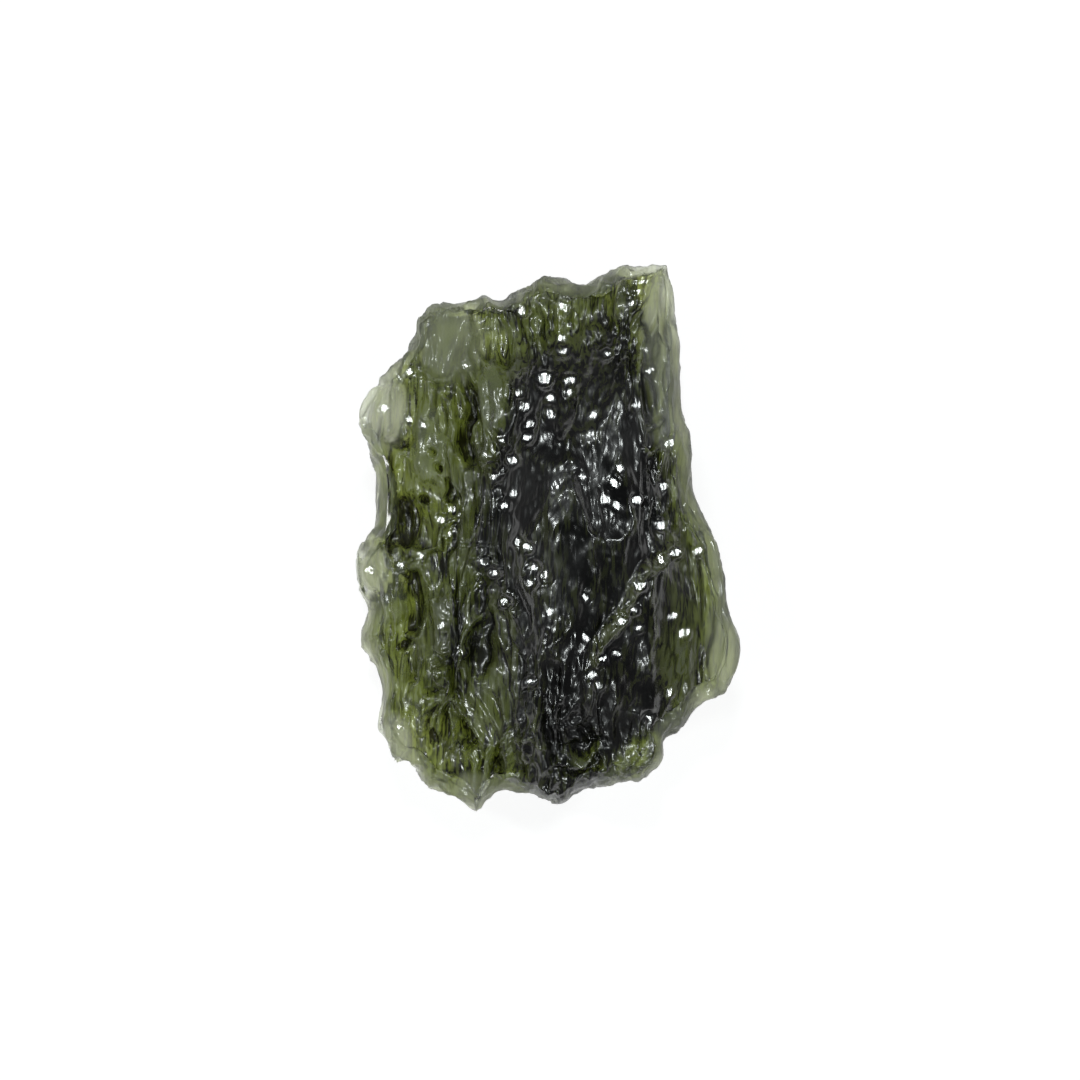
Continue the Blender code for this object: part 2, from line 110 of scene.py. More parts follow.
# Where the underside comes down to the surface or lifts off it, in the same form.
UNDULATIONS_BELOW = (
    (0.7, -0.4, 3.0, 4.4, -0.25),    # under the core
    (1.0, -7.4, 2.8, 2.0, -0.5),     # under its lower end
    (-3.6, -4.0, 0.8, 2.4, -0.6),    # under the shoulder
    (-4.7, 0.2, 0.8, 1.3, -0.8),     # under the trough on the left
    (-6.1, 1.2, 0.6, 2.4, -0.5),     # under the strip along the left edge
    (-5.6, -2.2, 0.6, 1.2, 0.4),     # under the clear window below the left knob
    (-4.2, 7.0, 1.2, 1.5, -0.4),     # under the smooth shell
    (-1.7, 8.1, 0.9, 0.9, -0.6),     # and the rib beside it
    (1.6, 9.4, 3.8, 3.4, 0.9),       # under the top edge
    (5.2, 4.6, 1.6, 5.4, 2.0),       # under the upper right edge
    (3.9, 9.2, 1.1, 1.9, 2.2),       # under the horn
    (6.1, -3.7, 2.7, 3.6, 2.1),      # under the lower right lobe
    (3.7, -8.4, 2.0, 1.5, 3.0),      # under the small lobe at the bottom right
    (-6.3, 4.5, 1.2, 1.5, 1.6),      # under the two knobs of the left edge
    (-6.6, -1.1, 1.0, 1.1, 1.9),
    (-4.2, 3.0, 1.1, 3.4, 0.4),      # under the clearest glass on the left
    (-5.2, -7.2, 1.2, 1.4, 1.1),     # under the lower left corner
    (-2.5, -9.8, 0.8, 1.0, 0.2),     # under the sharp tip
)
# 1 makes a swelling a bell, and more gives it a flatter top and steeper sides.
SWELLING_FLATNESS = 1.4

# The left side of the core, where the stone steps down to a thin flange: points as y and x, how far
# to each side of them the step reaches, and how much the upper face drops and the underside lifts.
CORE_EDGE = (
    (-8.4, -0.4), (-7.2, -1.0), (-5.5, -0.9), (-2.9, -1.2), (-1.8, -2.0), (-0.8, -2.7), (-0.2, -2.9),
    (1.1, -2.6), (2.4, -2.3), (3.3, -1.8), (4.4, -1.5), (5.7, -1.4), (6.6, -1.0), (7.5, -1.4), (8.5, -2.2),
)
CORE_EDGE_WIDTH = 0.75
CORE_STEP = 0.5
FLANGE_LIFT = 1.2

# Wide marks on the upper face: centre x and y, half width, half length, turn in degrees, depth.
SCOOPS = (
    (-3.7, 7.1, 1.05, 1.70, 8.0, 0.35),      # smooth shell at the upper left
    (-0.9, -0.2, 0.36, 0.38, 0.0, 0.35),     # two round pits on the core
    (-0.65, -1.25, 0.44, 0.40, 0.0, 0.35),
    (3.0, 6.9, 0.50, 1.10, -6.0, 0.30),      # flutes below the horn and the top edge
    (0.6, 4.7, 0.45, 1.10, 5.0, 0.30),
    (1.2, -7.7, 1.10, 0.34, -6.0, 0.35),     # under the lip above the lower tier
)
LOBES = (
    (-5.9, 4.5, 1.00, 1.35, -12.0, 0.20),    # upper left knob
    (-6.3, -1.1, 0.75, 1.05, 0.0, 0.35),     # left knob
    (-5.0, -7.0, 1.10, 1.40, -10.0, 0.10),   # plate at the lower left
    (3.9, 8.6, 0.55, 1.30, 0.0, 0.20),       # rib under the horn
)
LOBE_SHARPNESS = 1.5

# Narrow grooves on the upper face: half width, depth, and the course as points in x and y.
GROOVES = (
    (0.26, 0.60, ((-3.1, 6.2), (-2.8, 5.4), (-2.8, 4.6), (-3.1, 3.7), (-2.9, 2.4))),
    (0.17, 0.35, ((-3.7, 2.3), (-3.5, 1.8), (-3.7, 1.3))),
    (0.18, 0.35, ((-5.9, 3.6), (-5.3, 3.3), (-4.7, 3.7))),
    (0.14, 0.20, ((-5.5, 3.1), (-5.5, 1.1), (-5.5, -0.7))),
    (0.42, 0.40, ((-5.1, 1.7), (-5.1, -0.2))),
    (0.32, 0.75, ((-5.0, -1.2), (-4.9, -2.2), (-4.9, -3.7))),
    (0.20, 0.40, ((-4.9, -3.7), (-5.3, -4.2))),
    (0.30, 0.60, ((-4.4, -4.0), (-3.9, -4.5), (-3.4, -5.5), (-3.1, -6.0))),
    (0.15, 0.50, ((-3.7, -6.4), (-3.7, -7.6))),
    (0.18, 0.55, ((-3.0, -6.3), (-2.8, -7.3), (-3.1, -7.8))),
    (0.13, 0.45, ((-4.2, -6.8), (-4.1, -7.6))),
    (0.20, 0.35, ((-2.4, -2.2), (-2.3, -4.0), (-2.5, -5.2))),
    (0.14, 0.25, ((4.0, 9.0), (4.1, 7.7), (4.3, 6.9))),
    (0.26, 0.35, ((-0.1, -8.4), (1.2, -8.5), (2.0, -8.2))),
    (0.14, 0.30, ((-2.5, -8.0), (-2.5, -9.2))),
    (0.18, 0.30, ((-2.0, -7.8), (-2.0, -9.0))),
    (0.10, 0.16, ((-5.7, -2.6), (-5.5, -3.7))),
    (0.10, 0.16, ((-6.0, -2.5), (-5.9, -3.7))),
)
# Ridges on the upper face, in the same form.
RIDGES = (
    (0.15, 0.30, ((-3.4, 1.2), (-3.8, 0.7), (-4.0, -0.2), (-4.5, -0.5), (-5.2, -0.9))),
    (0.16, 0.22, ((-4.7, 7.7), (-4.7, 6.4), (-4.5, 5.9), (-4.0, 5.6), (-3.4, 5.8), (-2.8, 6.2))),
    (0.16, 0.20, ((-2.7, -2.2), (-2.8, -3.7), (-2.7, -5.5))),
    (0.12, 0.16, ((-1.6, -2.4), (-1.6, -4.0), (-1.6, -5.9))),
    (0.13, 0.25, ((-4.0, -7.5), (-4.0, -6.4), (-3.6, -6.0), (-3.1, -6.1), (-2.8, -6.7), (-2.6, -7.6))),
    (0.10, 0.25, ((-3.4, -6.9), (-3.4, -7.8))),
    (0.12, 0.22, ((-4.5, -4.0), (-4.2, -4.7), (-4.2, -5.5))),
    (0.14, 0.20, ((-4.5, -6.0), (-4.5, -7.1))),
    (0.12, 0.30, ((-2.1, -7.4), (-2.3, -8.0), (-2.3, -8.8), (-2.5, -9.6))),
    (0.12, 0.20, ((-2.8, -8.2), (-2.8, -9.0))),
    (0.10, 0.12, ((-1.5, -7.4), (-0.9, -7.2), (-0.1, -7.4))),
    (0.10, 0.12, ((-0.3, -5.9), (-0.7, -7.2))),
    (0.10, 0.12, ((-1.1, -5.9), (-1.0, -7.2))),
    (0.13, 0.22, ((4.2, 8.2), (4.4, 7.2), (4.8, 6.2))),
    (0.11, 0.15, ((3.3, 8.1), (3.4, 6.6), (3.3, 5.0))),
    (0.16, 0.30, ((3.6, 3.8), (4.0, 4.0), (4.2, 4.5))),
    (0.14, 0.25, ((3.3, 3.3), (3.8, 3.1), (4.3, 3.5))),
    (0.30, 0.35, ((5.2, 0.7), (4.0, -0.7), (3.2, -1.5), (2.6, -2.8), (1.9, -3.7), (1.5, -4.7))),
    (0.16, 0.28, ((0.7, -7.8), (1.2, -8.0), (1.9, -7.8))),
    (0.15, 0.15, ((1.0, 8.9), (1.1, 7.5))),
)
# Small deep pits on the upper face: centre x and y.
PITS = (
    (-4.06, 3.12), (-3.92, 2.65), (-4.50, 1.36), (-4.43, -5.59), (-4.87, -4.93), (-2.00, -7.72),
    (-3.58, -8.68), (0.17, -7.98),
)
PIT_RADIUS = 0.18
PIT_DEPTH = 0.45

# Small flat facets that catch the light: centre x and y, radius.
FACETS = (
    # upper left knob and shell
    (-2.9, 6.2, 0.17), (-5.2, 5.8, 0.18), (-4.9, 6.0, 0.18), (-5.8, 4.7, 0.18), (-4.9, 4.3, 0.17),
    (-4.4, 4.1, 0.17),
    # top edge and horn
    (-0.9, 8.2, 0.20), (0.6, 8.3, 0.20), (0.7, 7.6, 0.17), (0.5, 7.2, 0.19), (0.6, 6.7, 0.18),
    (2.1, 6.6, 0.18), (3.4, 6.8, 0.18), (3.3, 9.2, 0.20), (3.2, 8.8, 0.18), (3.0, 8.4, 0.18),
    # upper core
    (-0.1, 5.7, 0.26), (0.8, 5.6, 0.22), (0.8, 5.2, 0.17), (0.1, 5.0, 0.19), (0.1, 4.4, 0.20),
    (-0.8, 4.7, 0.20), (-1.0, 5.2, 0.17), (-0.6, 4.1, 0.18), (-0.7, 3.6, 0.18), (-1.6, 3.5, 0.19),
    (-1.2, 2.8, 0.20), (-1.9, 2.2, 0.18), (-2.2, 3.0, 0.17), (1.6, 4.4, 0.19), (1.5, 3.7, 0.18),
    (0.9, 2.5, 0.17), (1.2, 2.2, 0.18), (2.3, 2.0, 0.19), (2.5, 2.5, 0.17), (0.3, 1.9, 0.18),
    (2.0, 1.4, 0.18), (2.4, 1.2, 0.17), (3.1, 1.4, 0.18), (3.1, 4.7, 0.18), (-1.2, 1.6, 0.17),
    # right side and the slanting ridge
    (3.6, 6.0, 0.18), (4.6, 2.9, 0.18), (3.2, -3.1, 0.17), (1.9, -4.2, 0.17), (1.3, -3.4, 0.17),
    (4.3, 3.4, 0.22), (4.1, 1.9, 0.17), (4.0, 0.5, 0.19), (5.3, -0.4, 0.18), (4.5, -0.5, 0.19),
    (4.0, -0.7, 0.18), (3.2, -1.6, 0.22), (2.6, -2.8, 0.19), (3.0, -2.5, 0.17), (2.4, -4.0, 0.18),
    (1.6, -4.8, 0.24), (1.8, -5.1, 0.18), (4.4, -2.7, 0.18), (4.8, -3.3, 0.22), (1.3, -2.0, 0.17),
    (3.1, -6.0, 0.18), (3.6, -6.3, 0.19), (4.3, -5.4, 0.17),
    # middle and left, and the small lobe at the bottom right
    (-1.5, 1.2, 0.17), (-1.9, -1.2, 0.17), (-6.3, -1.1, 0.18), (-5.3, -6.7, 0.18), (4.0, -7.9, 0.18),
    (-1.0, -0.1, 0.18), (-0.7, -0.3, 0.18), (-0.5, -1.0, 0.22), (-0.6, -1.5, 0.22), (-0.1, -1.3, 0.18),
    (-2.3, -0.8, 0.18), (-1.9, -1.8, 0.17), (-1.5, -2.2, 0.18), (0.1, -2.5, 0.17), (-2.8, -2.9, 0.18),
    (-3.7, -3.1, 0.17), (-2.4, -3.3, 0.17), (-3.0, -4.0, 0.17), (-0.6, -5.0, 0.17), (-3.4, 1.1, 0.17),
    (-3.5, 0.2, 0.17), (-3.8, 0.7, 0.17), (-4.5, -0.6, 0.18), (-5.2, -0.9, 0.17),
)
# How far out, in radii, a facet blends into the relief.
FACET_EDGE = 1.6
# No facet is cut where the body is steeper than this height of its normal.
FACET_STEEPEST = 0.6

# How far out a patch of any kind below is full, from 0 at its centre to 1 at its edge, squared.
PATCH_CORE = 0.3
# Where the stone is pitted all over and not fluted: centre x and y, half width, half length.
PITTED = (
    (1.0, 1.2, 3.4, 7.0),
    (3.6, -3.0, 2.4, 4.2),
)
# Where narrow flutes and pits fade: centre x and y, half width, half length, how much of them goes.
SMOOTH_PATCHES = (
    (5.6, -3.9, 1.9, 3.2, 0.35),
    (-3.7, 7.0, 1.1, 1.8, 0.65),
    (-5.5, -2.1, 0.6, 1.1, 0.70),
    (-4.3, 3.3, 0.6, 1.6, 0.60),
    (-2.1, 5.1, 0.5, 1.6, 0.60),
    (3.6, -8.3, 1.4, 0.9, 0.30),
)

# Flutes all round the stone, each layer a crowd of long scoops with sharp crests between them:
# width across, length along Y, depth.
BROAD_FLUTES = (
    (2.60, 8.50, 0.40),
)
NARROW_FLUTES = (
    (0.95, 4.60, 0.34),
    (0.44, 2.80, 0.33),
    (0.25, 1.40, 0.18),
)
PITTED_LAYERS = (
    (1.10, 2.60, 0.16),
    (0.55, 1.00, 0.06),
    (0.30, 0.42, 0.03),
)
# How far the flutes waver along each axis, and over what share of a turn per millimetre.
WAVER = np.array((0.9, 1.4, 0.55))
WAVER_PACE = (0.55, 0.22, 0.55)
# The same for the marks placed one by one.
MARK_WAVER = np.array((0.16, 0.30, 0.0))
MARK_WAVER_PACE = (1.3, 0.9, 1.3)
# How steeply a flute rises from its middle: more makes it narrower, with a wider crest.
FLUTE_STEEPNESS = 2.0
# No layer of flutes is cut deeper than this along the edge.
RIM_DEPTH = 0.10
# The layers of flutes on one face take away no more than this share of the glass.
DEEPEST_SHARE = 0.36
# The heights of the body's normal between which a face comes to count as the upper one, and the
# same below 0 for the underside.
UPPER_FACING = (0.05, 0.5)
LOWER_FACING = (0.3, 0.9)
# Below this height of its normal the body comes to count as its edge.
EDGE_FACING = 0.75

# Where in the noise each use of it begins, so that no two are alike: the edge's wander, the three
# parts of a push, and the layers of flutes.
RIM_BEGINNING = 4.7
PUSH_BEGINNINGS = (7.0, 5.0, 11.0)
FLUTES_BEGINNING = 3.7

# Around the small flat spot that the stone lies on, the relief is shallower.
REST_CENTRE = (0.7, -0.4)
REST_HALF = (2.6, 3.8)
REST_KEEP = 0.35

# Where the surface is frosted and not silky: in a strip along the edge, and on its paler lobes, as
# centre x and y, half width and half length.
FROSTED_EDGE = 0.55
FROSTED = (
    (-6.0, 4.6, 1.2, 1.8),
    (-6.4, -1.0, 0.9, 1.2),
    (4.1, 7.0, 0.9, 3.2),
    (4.3, 4.0, 1.0, 1.0),
    (-5.5, -7.4, 0.8, 1.4),
    (-2.6, -9.2, 1.0, 1.0),
    (-3.4, 7.0, 1.4, 1.7),
    (6.7, -3.8, 1.3, 3.0),
)

# Painted shade, a darker tint from 0 to 1. How much of it is in the marked grooves and pits, how
# much of that is on the crests of the flutes there too, and at what share of its depth a groove is full of
# it.
GROOVE_SHADE = 1.0
GROOVE_CREST_SHADE = 0.8
GROOVE_FULL = 0.8
# How much is in the flutes, and the shares of their whole depth over which it builds up.
FLUTE_SHADE = 0.57
FLUTE_HOLLOWS = (0.15, 0.85)
# How much painted shade is over the thick glass, and the thicknesses over which it builds up.
THICK_GLASS_SHADE = 0.75
THICK_GLASS = (3.8, 5.4)
# Windows of clean, clear glass: centre x and y, half width, half length. Then how much painted
# shade they lose.
WINDOWS = (
    (-5.5, -2.2, 0.7, 1.5),
    (-4.3, 3.6, 0.8, 1.6),
    (-2.1, 5.1, 0.5, 1.6),
    (-3.9, -2.4, 0.4, 1.2),
)
WINDOW_CLEARING = 0.6

# How fine the mesh is: squares across each sixth of the surface.
SPHERE_CUTS = 128

# The glass: how much of each colour of light a metre of it takes up is ABSORPTION_DENSITY times
# one minus the colour.
GLASS_IOR = 1.49
ABSORPTION_DENSITY = 1420.0
ABSORPTION_COLOUR = (0.37, 0.42, 0.02, 1.0)
# How glossy the surface is, and its facets, and how rough that gloss is.
POLISH = 0.4
FACET_POLISH = 1.0
POLISH_ROUGHNESS = 0.11
# How rough the glass below it is, in this many patches a millimetre, with this much fine detail
# and from this part of the noise, and how much rougher it is where frosted.
ROUGHNESS_RANGE = (0.22, 0.38)
ROUGH_PATCHES_PER_MM = 0.7
ROUGH_PATCH_DETAIL = 4.0
ROUGH_PATCH_RANGE = (0.35, 0.65)
FROST_ROUGHNESS = 0.30
# The part of the light that goes through the surface, where the rest makes a faint haze.
CLEARNESS = 0.905
# The painted highlight tint of the crests, the tint of clean glass, how much painted shade clean
# glass has, and the painted shade's tint.
CREST_HIGHLIGHT_TINT = (0.80, 0.86, 0.56, 1.0)
CLEAN_TINT = (0.58, 0.65, 0.20, 1.0)
CLEAN_GLASS_SHADE = 0.30
PAINTED_SHADE_TINT = (0.008, 0.007, 0.005, 1.0)
# The tint of frosted glass, and how much of it shows there.
FROST_TINT = (0.94, 0.94, 0.98, 1.0)
FROST_SHARE = 0.68
# Fine dark streaks along the flutes, added to the painted shade: how wide one is, how many times as
# long, how detailed and how winding, the part of the noise that counts as streaks, and how dark they get.
STREAK_SIZE = 0.15
STREAK_STRETCH = 8.0
STREAK_DETAIL = 2.0
STREAK_WINDING = 0.8
STREAK_RANGE = (0.44, 0.66)
STREAK_SHARE = 0.8
# Etching too fine for the mesh: how wide its cells are, how many times as long, how deep in the
# glass and in its gloss, and how much of the latter is left on a facet. Then a finer grain.
ETCHING_SIZE = 0.18
ETCHING_STRETCH = 3.0
ETCHING_DEPTH = 0.016
POLISH_ETCHING_DEPTH = 0.012
FACET_ETCHING = 0.7
GRAIN_SIZE = 0.08
GRAIN_DETAIL = 3.0
GRAIN_DEPTH = 0.003

# The camera looks straight down. One pixel of the 1080 pixel frame is a 27.2th of a millimetre.
FRAME_WIDTH = 1080 / 27.2
CAMERA_X = -0.276
LENS = 100.0
SENSOR = 36.0
FOCUS_HEIGHT = 2.6
CAMERA_PLACE = (CAMERA_X, 0.0, FOCUS_HEIGHT + FRAME_WIDTH * LENS / SENSOR)
# The nearest that the camera sees, in metres.
NEAREST_SEEN = 0.001

# Square lights: azimuth in degrees from +X, elevation, distance, side, strength.
SOFTBOXES = (
    (95.0, 60.0, 240.0, 30.0, 40.0),
    (30.0, 50.0, 240.0, 28.0, 40.0),
    (155.0, 52.0, 240.0, 28.0, 40.0),
    (215.0, 46.0, 240.0, 28.0, 40.0),
    (280.0, 54.0, 240.0, 28.0, 40.0),
)
SOFTBOX_COLOUR = (0.94, 1.0, 0.99)
# The surroundings, from the horizon up to straight overhead.
SKY_STOPS = (
    (0.00, (0.22, 0.22, 0.22, 1.0)),
    (0.35, (0.11, 0.11, 0.12, 1.0)),
    (0.80, (0.06, 0.065, 0.07, 1.0)),
    (1.00, (0.04, 0.045, 0.05, 1.0)),
)
# The floor glows a little, like a light table.
FLOOR_SIDE = 3000.0
FLOOR_COLOUR = (0.30, 0.30, 0.30, 1.0)
FLOOR_ROUGHNESS = 0.9
FLOOR_GLOW = 0.84
FLOOR_GLOW_COLOUR = (1.0, 1.0, 1.0, 1.0)


def smooth_step(low, high, value):
    """0 below low, 1 above high, and a smooth rise between them."""
    share = np.clip((value - low) / (high - low), 0.0, 1.0)
    return share * share * (3.0 - 2.0 * share)


def outline_curve():
    """Points along a smooth closed curve through OUTLINE."""
    corners = np.array(OUTLINE)
    before, after, beyond = (np.roll(corners, shift, axis=0) for shift in (1, -1, -2))
    curve = []
    for step in range(OUTLINE_STEPS):
        t = step / OUTLINE_STEPS
        curve.append(
            corners
            + 0.5 * t * (after - before)
            + t * t * (before - 2.5 * corners + 2.0 * after - 0.5 * beyond)
            + t**3 * (1.5 * (corners - after) + 0.5 * (beyond - before))
        )
    return np.concatenate(curve)


def outline_radius(angle):
    """How far the stone's edge is from the origin in each direction of the plan."""
    curve = outline_curve()
    return np.interp(
        angle,
        np.arctan2(curve[:, 1], curve[:, 0]),
        np.hypot(curve[:, 0], curve[:, 1]),
        period=2.0 * math.pi,
    )


def ellipse_distance(x, y, centre_x, centre_y, half_width, half_length, turn=0.0):
    """0 at the centre of a turned ellipse and 1 on its edge, squared."""
    cosine, sine = math.cos(math.radians(turn)), math.sin(math.radians(turn))
    across = (x - centre_x) * cosine - (y - centre_y) * sine
    along = (x - centre_x) * sine + (y - centre_y) * cosine
    return (across / half_width) ** 2 + (along / half_length) ** 2


def stroke_share(x, y, half_width, course):
    """1 along the middle of a course of straight runs, falling to 0 at half its width from it and
    at its two ends."""
    corners = np.array(course)
    runs = np.diff(corners, axis=0)
    lengths = np.hypot(*runs.T)
    nearest = np.full(len(x), math.inf)
    passed = np.zeros(len(x))
    for start, run, length, before in zip(corners, runs, lengths, np.cumsum(lengths) - lengths):
        share = np.clip(((x - start[0]) * run[0] + (y - start[1]) * run[1]) / length**2, 0.0, 1.0)
        away = np.hypot(x - start[0] - share * run[0], y - start[1] - share * run[1])
        closer = away < nearest
        nearest[closer] = away[closer]
        passed[closer] = before + share[closer] * length
    taper = 1.0 - (2.0 * passed / lengths.sum() - 1.0) ** 4
    return taper * np.clip(1.0 - (nearest / half_width) ** 2, 0.0, 1.0)


def swollen(level, swellings, x, y):
    """The height of a face at each place: its level, with the swellings added."""
    height = np.full(len(x), level)
    for *place, rise in swellings:
        height += rise * np.exp(-(ellipse_distance(x, y, *place) ** SWELLING_FLATNESS))
    return height


def core_share(x, y):
    """0 on the flange left of the core's edge and 1 to the right of it."""
    edge_y, edge_x = np.transpose(CORE_EDGE)
    return smooth_step(-CORE_EDGE_WIDTH, CORE_EDGE_WIDTH, x - np.interp(y, edge_y, edge_x))


def face_levels(x, y):
    """How high the upper face and the underside stand, as if the stone had no edge."""
    core = core_share(x, y)
    upper = swollen(UPPER_LEVEL, SWELLINGS, x, y) + CORE_STEP * core
    lower = swollen(LOWER_LEVEL, UNDULATIONS_BELOW, x, y) + FLANGE_LIFT * (1.0 - core)
    return upper, lower


def rounded(gap, width, crown, reach):
    """How far a face has come from the edge's height to its own, at a gap from the edge."""
    share = np.clip(gap / width, 0.0, 1.0)
    return np.sqrt(1.0 - (1.0 - share) ** 2) * (1.0 - crown * reach**2)


def ball_mesh(cuts):
    """A ball of evenly spread squares, with its points as an array."""
    shape = bmesh.new()
    bmesh.ops.create_cube(shape, size=2.0)
    bmesh.ops.subdivide_edges(shape, edges=shape.edges, cuts=cuts - 1, use_grid_fill=True)
    mesh = bpy.data.meshes.new("moldavite")
    shape.to_mesh(mesh)
    shape.free()
    points = np.empty(len(mesh.vertices) * 3)
    mesh.vertices.foreach_get("co", points)
    points = np.tan(points.reshape(-1, 3) * math.pi / 4.0)
    points /= np.linalg.norm(points, axis=1)[:, None]
    return mesh, points


def body_points(ball):
    """The ball's points, stretched to the outline, the upper face and the underside, and each
    one's gap from the edge."""
    angle = np.arctan2(ball[:, 1], ball[:, 0])
    ring = np.arctan2(np.hypot(ball[:, 0], ball[:, 1]), np.abs(ball[:, 2])) / (math.pi / 2.0)
    reach = np.sin(((1.0 - RING_EASE) * ring + RING_EASE * ring**3) * math.pi / 2.0)
    reach = np.minimum(reach, 1.0)
    radius = outline_radius(angle)
    x = reach * radius * np.cos(angle)
    y = reach * radius * np.sin(angle)
    gap = (1.0 - reach) * radius
    circle = RIM_WAVES * np.column_stack([np.cos(angle), np.sin(angle)])
    wander = np.array([noise.noise((a, b, RIM_BEGINNING)) for a, b in circle])
    highest, lowest = face_levels(radius * np.cos(angle), radius * np.sin(angle))
    rim = lowest + (highest - lowest) * (RIM_SHARE + RIM_WANDER * wander)
    upper, lower = face_levels(x, y)
    above = rim + (upper - rim) * rounded(gap, UPPER_ROUNDING, UPPER_CROWN, reach)
    below = rim + (lower - rim) * rounded(gap, LOWER_ROUNDING, LOWER_CROWN, reach)
    return np.column_stack([x, y, np.where(ball[:, 2] > 0.0, above, below)]), gap


def shaken(points, pace):
    """A smooth random push at each point, up to about 1 along each axis."""
    on_x, on_y, on_z = PUSH_BEGINNINGS
    pushes = []
    for x, y, z in points * pace:
        across = noise.noise((x, y, z + on_z))
        along = noise.noise((x + on_x, y, z))
        up = noise.noise((x, y + on_y, z))
        pushes.append((across, along, up))
    return np.array(pushes)


def fluted(points, layers, near_rim):
    """How deep layers of scooped flutes are cut: each from 0 on its crests to its own depth."""
    depths = np.zeros(len(points))
    for width, length, depth in layers:
        places = points / (width, length, width) + (FLUTES_BEGINNING / width, 0.0, 0.0)
        away = np.array([noise.voronoi(place)[0][0] for place in places])
        cut = 1.0 - np.minimum(1.0, FLUTE_STEEPNESS * away**2)
        depths += cut * (depth + (min(depth, RIM_DEPTH) - depth) * near_rim)
    return depths


def total_depth(layers):
    """How deep the layers of flutes go together."""
    return sum(depth for _, _, depth in layers)


def in_patches(x, y, patches):
    """1 inside any of the elliptical patches, falling smoothly to 0 at its edge."""
    distances = [ellipse_distance(x, y, *place) for place in patches]
    return smooth_step(1.0, PATCH_CORE, np.min(distances, axis=0))


def ridge_share(x, y):
    """1 along the middle of the marked ridges, and 0 outside them."""
    return np.max([stroke_share(x, y, half_width, course) for half_width, _, course in RIDGES], axis=0)


def groove_share(x, y):
    """1 along the middle of the marked grooves and pits, and 0 outside them."""
    share = np.zeros(len(x))
    for half_width, _, course in GROOVES:
        share = np.maximum(share, stroke_share(x, y, half_width, course))
    for place in PITS:
        share = np.maximum(share, 1.0 - ellipse_distance(x, y, *place, PIT_RADIUS, PIT_RADIUS))
    return smooth_step(0.0, GROOVE_FULL, share)


def named_marks(x, y):
    """The height that the marks placed one by one on the upper face add or take away."""
    height = np.zeros(len(x))
    for *place, depth in SCOOPS:
        height -= depth * np.clip(1.0 - ellipse_distance(x, y, *place), 0.0, 1.0)
    for *place, rise in LOBES:
        height += rise * np.clip(1.0 - ellipse_distance(x, y, *place), 0.0, 1.0) ** LOBE_SHARPNESS
    for half_width, depth, course in GROOVES:
        height -= depth * stroke_share(x, y, half_width, course)
    for half_width, rise, course in RIDGES:
        height += rise * stroke_share(x, y, half_width, course) ** LOBE_SHARPNESS
    for place in PITS:
        distance = ellipse_distance(x, y, *place, PIT_RADIUS, PIT_RADIUS)
        height -= PIT_DEPTH * np.clip(1.0 - distance, 0.0, 1.0)
    return height


def softbox_place(azimuth, elevation, distance):
    """Where a softbox hangs, in millimetres."""
    across, up = math.radians(azimuth), math.radians(elevation)
    direction = Vector((math.cos(up) * math.cos(across), math.cos(up) * math.sin(across), math.sin(up)))
    return direction * distance


def mirror_facings(place):
    """For each softbox, the way that a face has to look to mirror it to the camera."""
    facings = []
    for azimuth, elevation, distance, *_ in SOFTBOXES:
        halfway = (softbox_place(azimuth, elevation, distance) - place).normalized()
        halfway += (Vector(CAMERA_PLACE) - place).normalized()
        facings.append(np.array(halfway.normalized()))
    return facings


def with_facets(points, normals):
    """The points with each facet pressed flat, so that it mirrors the handiest light, and the share
    of each point that is the bright face of a facet."""
    gloss = np.zeros(len(points))
    for centre_x, centre_y, radius in FACETS:
        distance = np.hypot(points[:, 0] - centre_x, points[:, 1] - centre_y) / radius
        within = (distance < FACET_EDGE) & (normals[:, 2] > FACET_STEEPEST)
        if not within.any():
            continue
        share = smooth_step(FACET_EDGE, 1.0, distance[within])
        middle = points[within].mean(axis=0)
        facing = max(mirror_facings(Vector(middle)), key=normals[within].mean(axis=0).dot)
        height = (points[within] - middle) @ facing
        points[within] -= (share * height)[:, None] * facing
        gloss[within] = np.maximum(gloss[within], share)
    return points, gloss


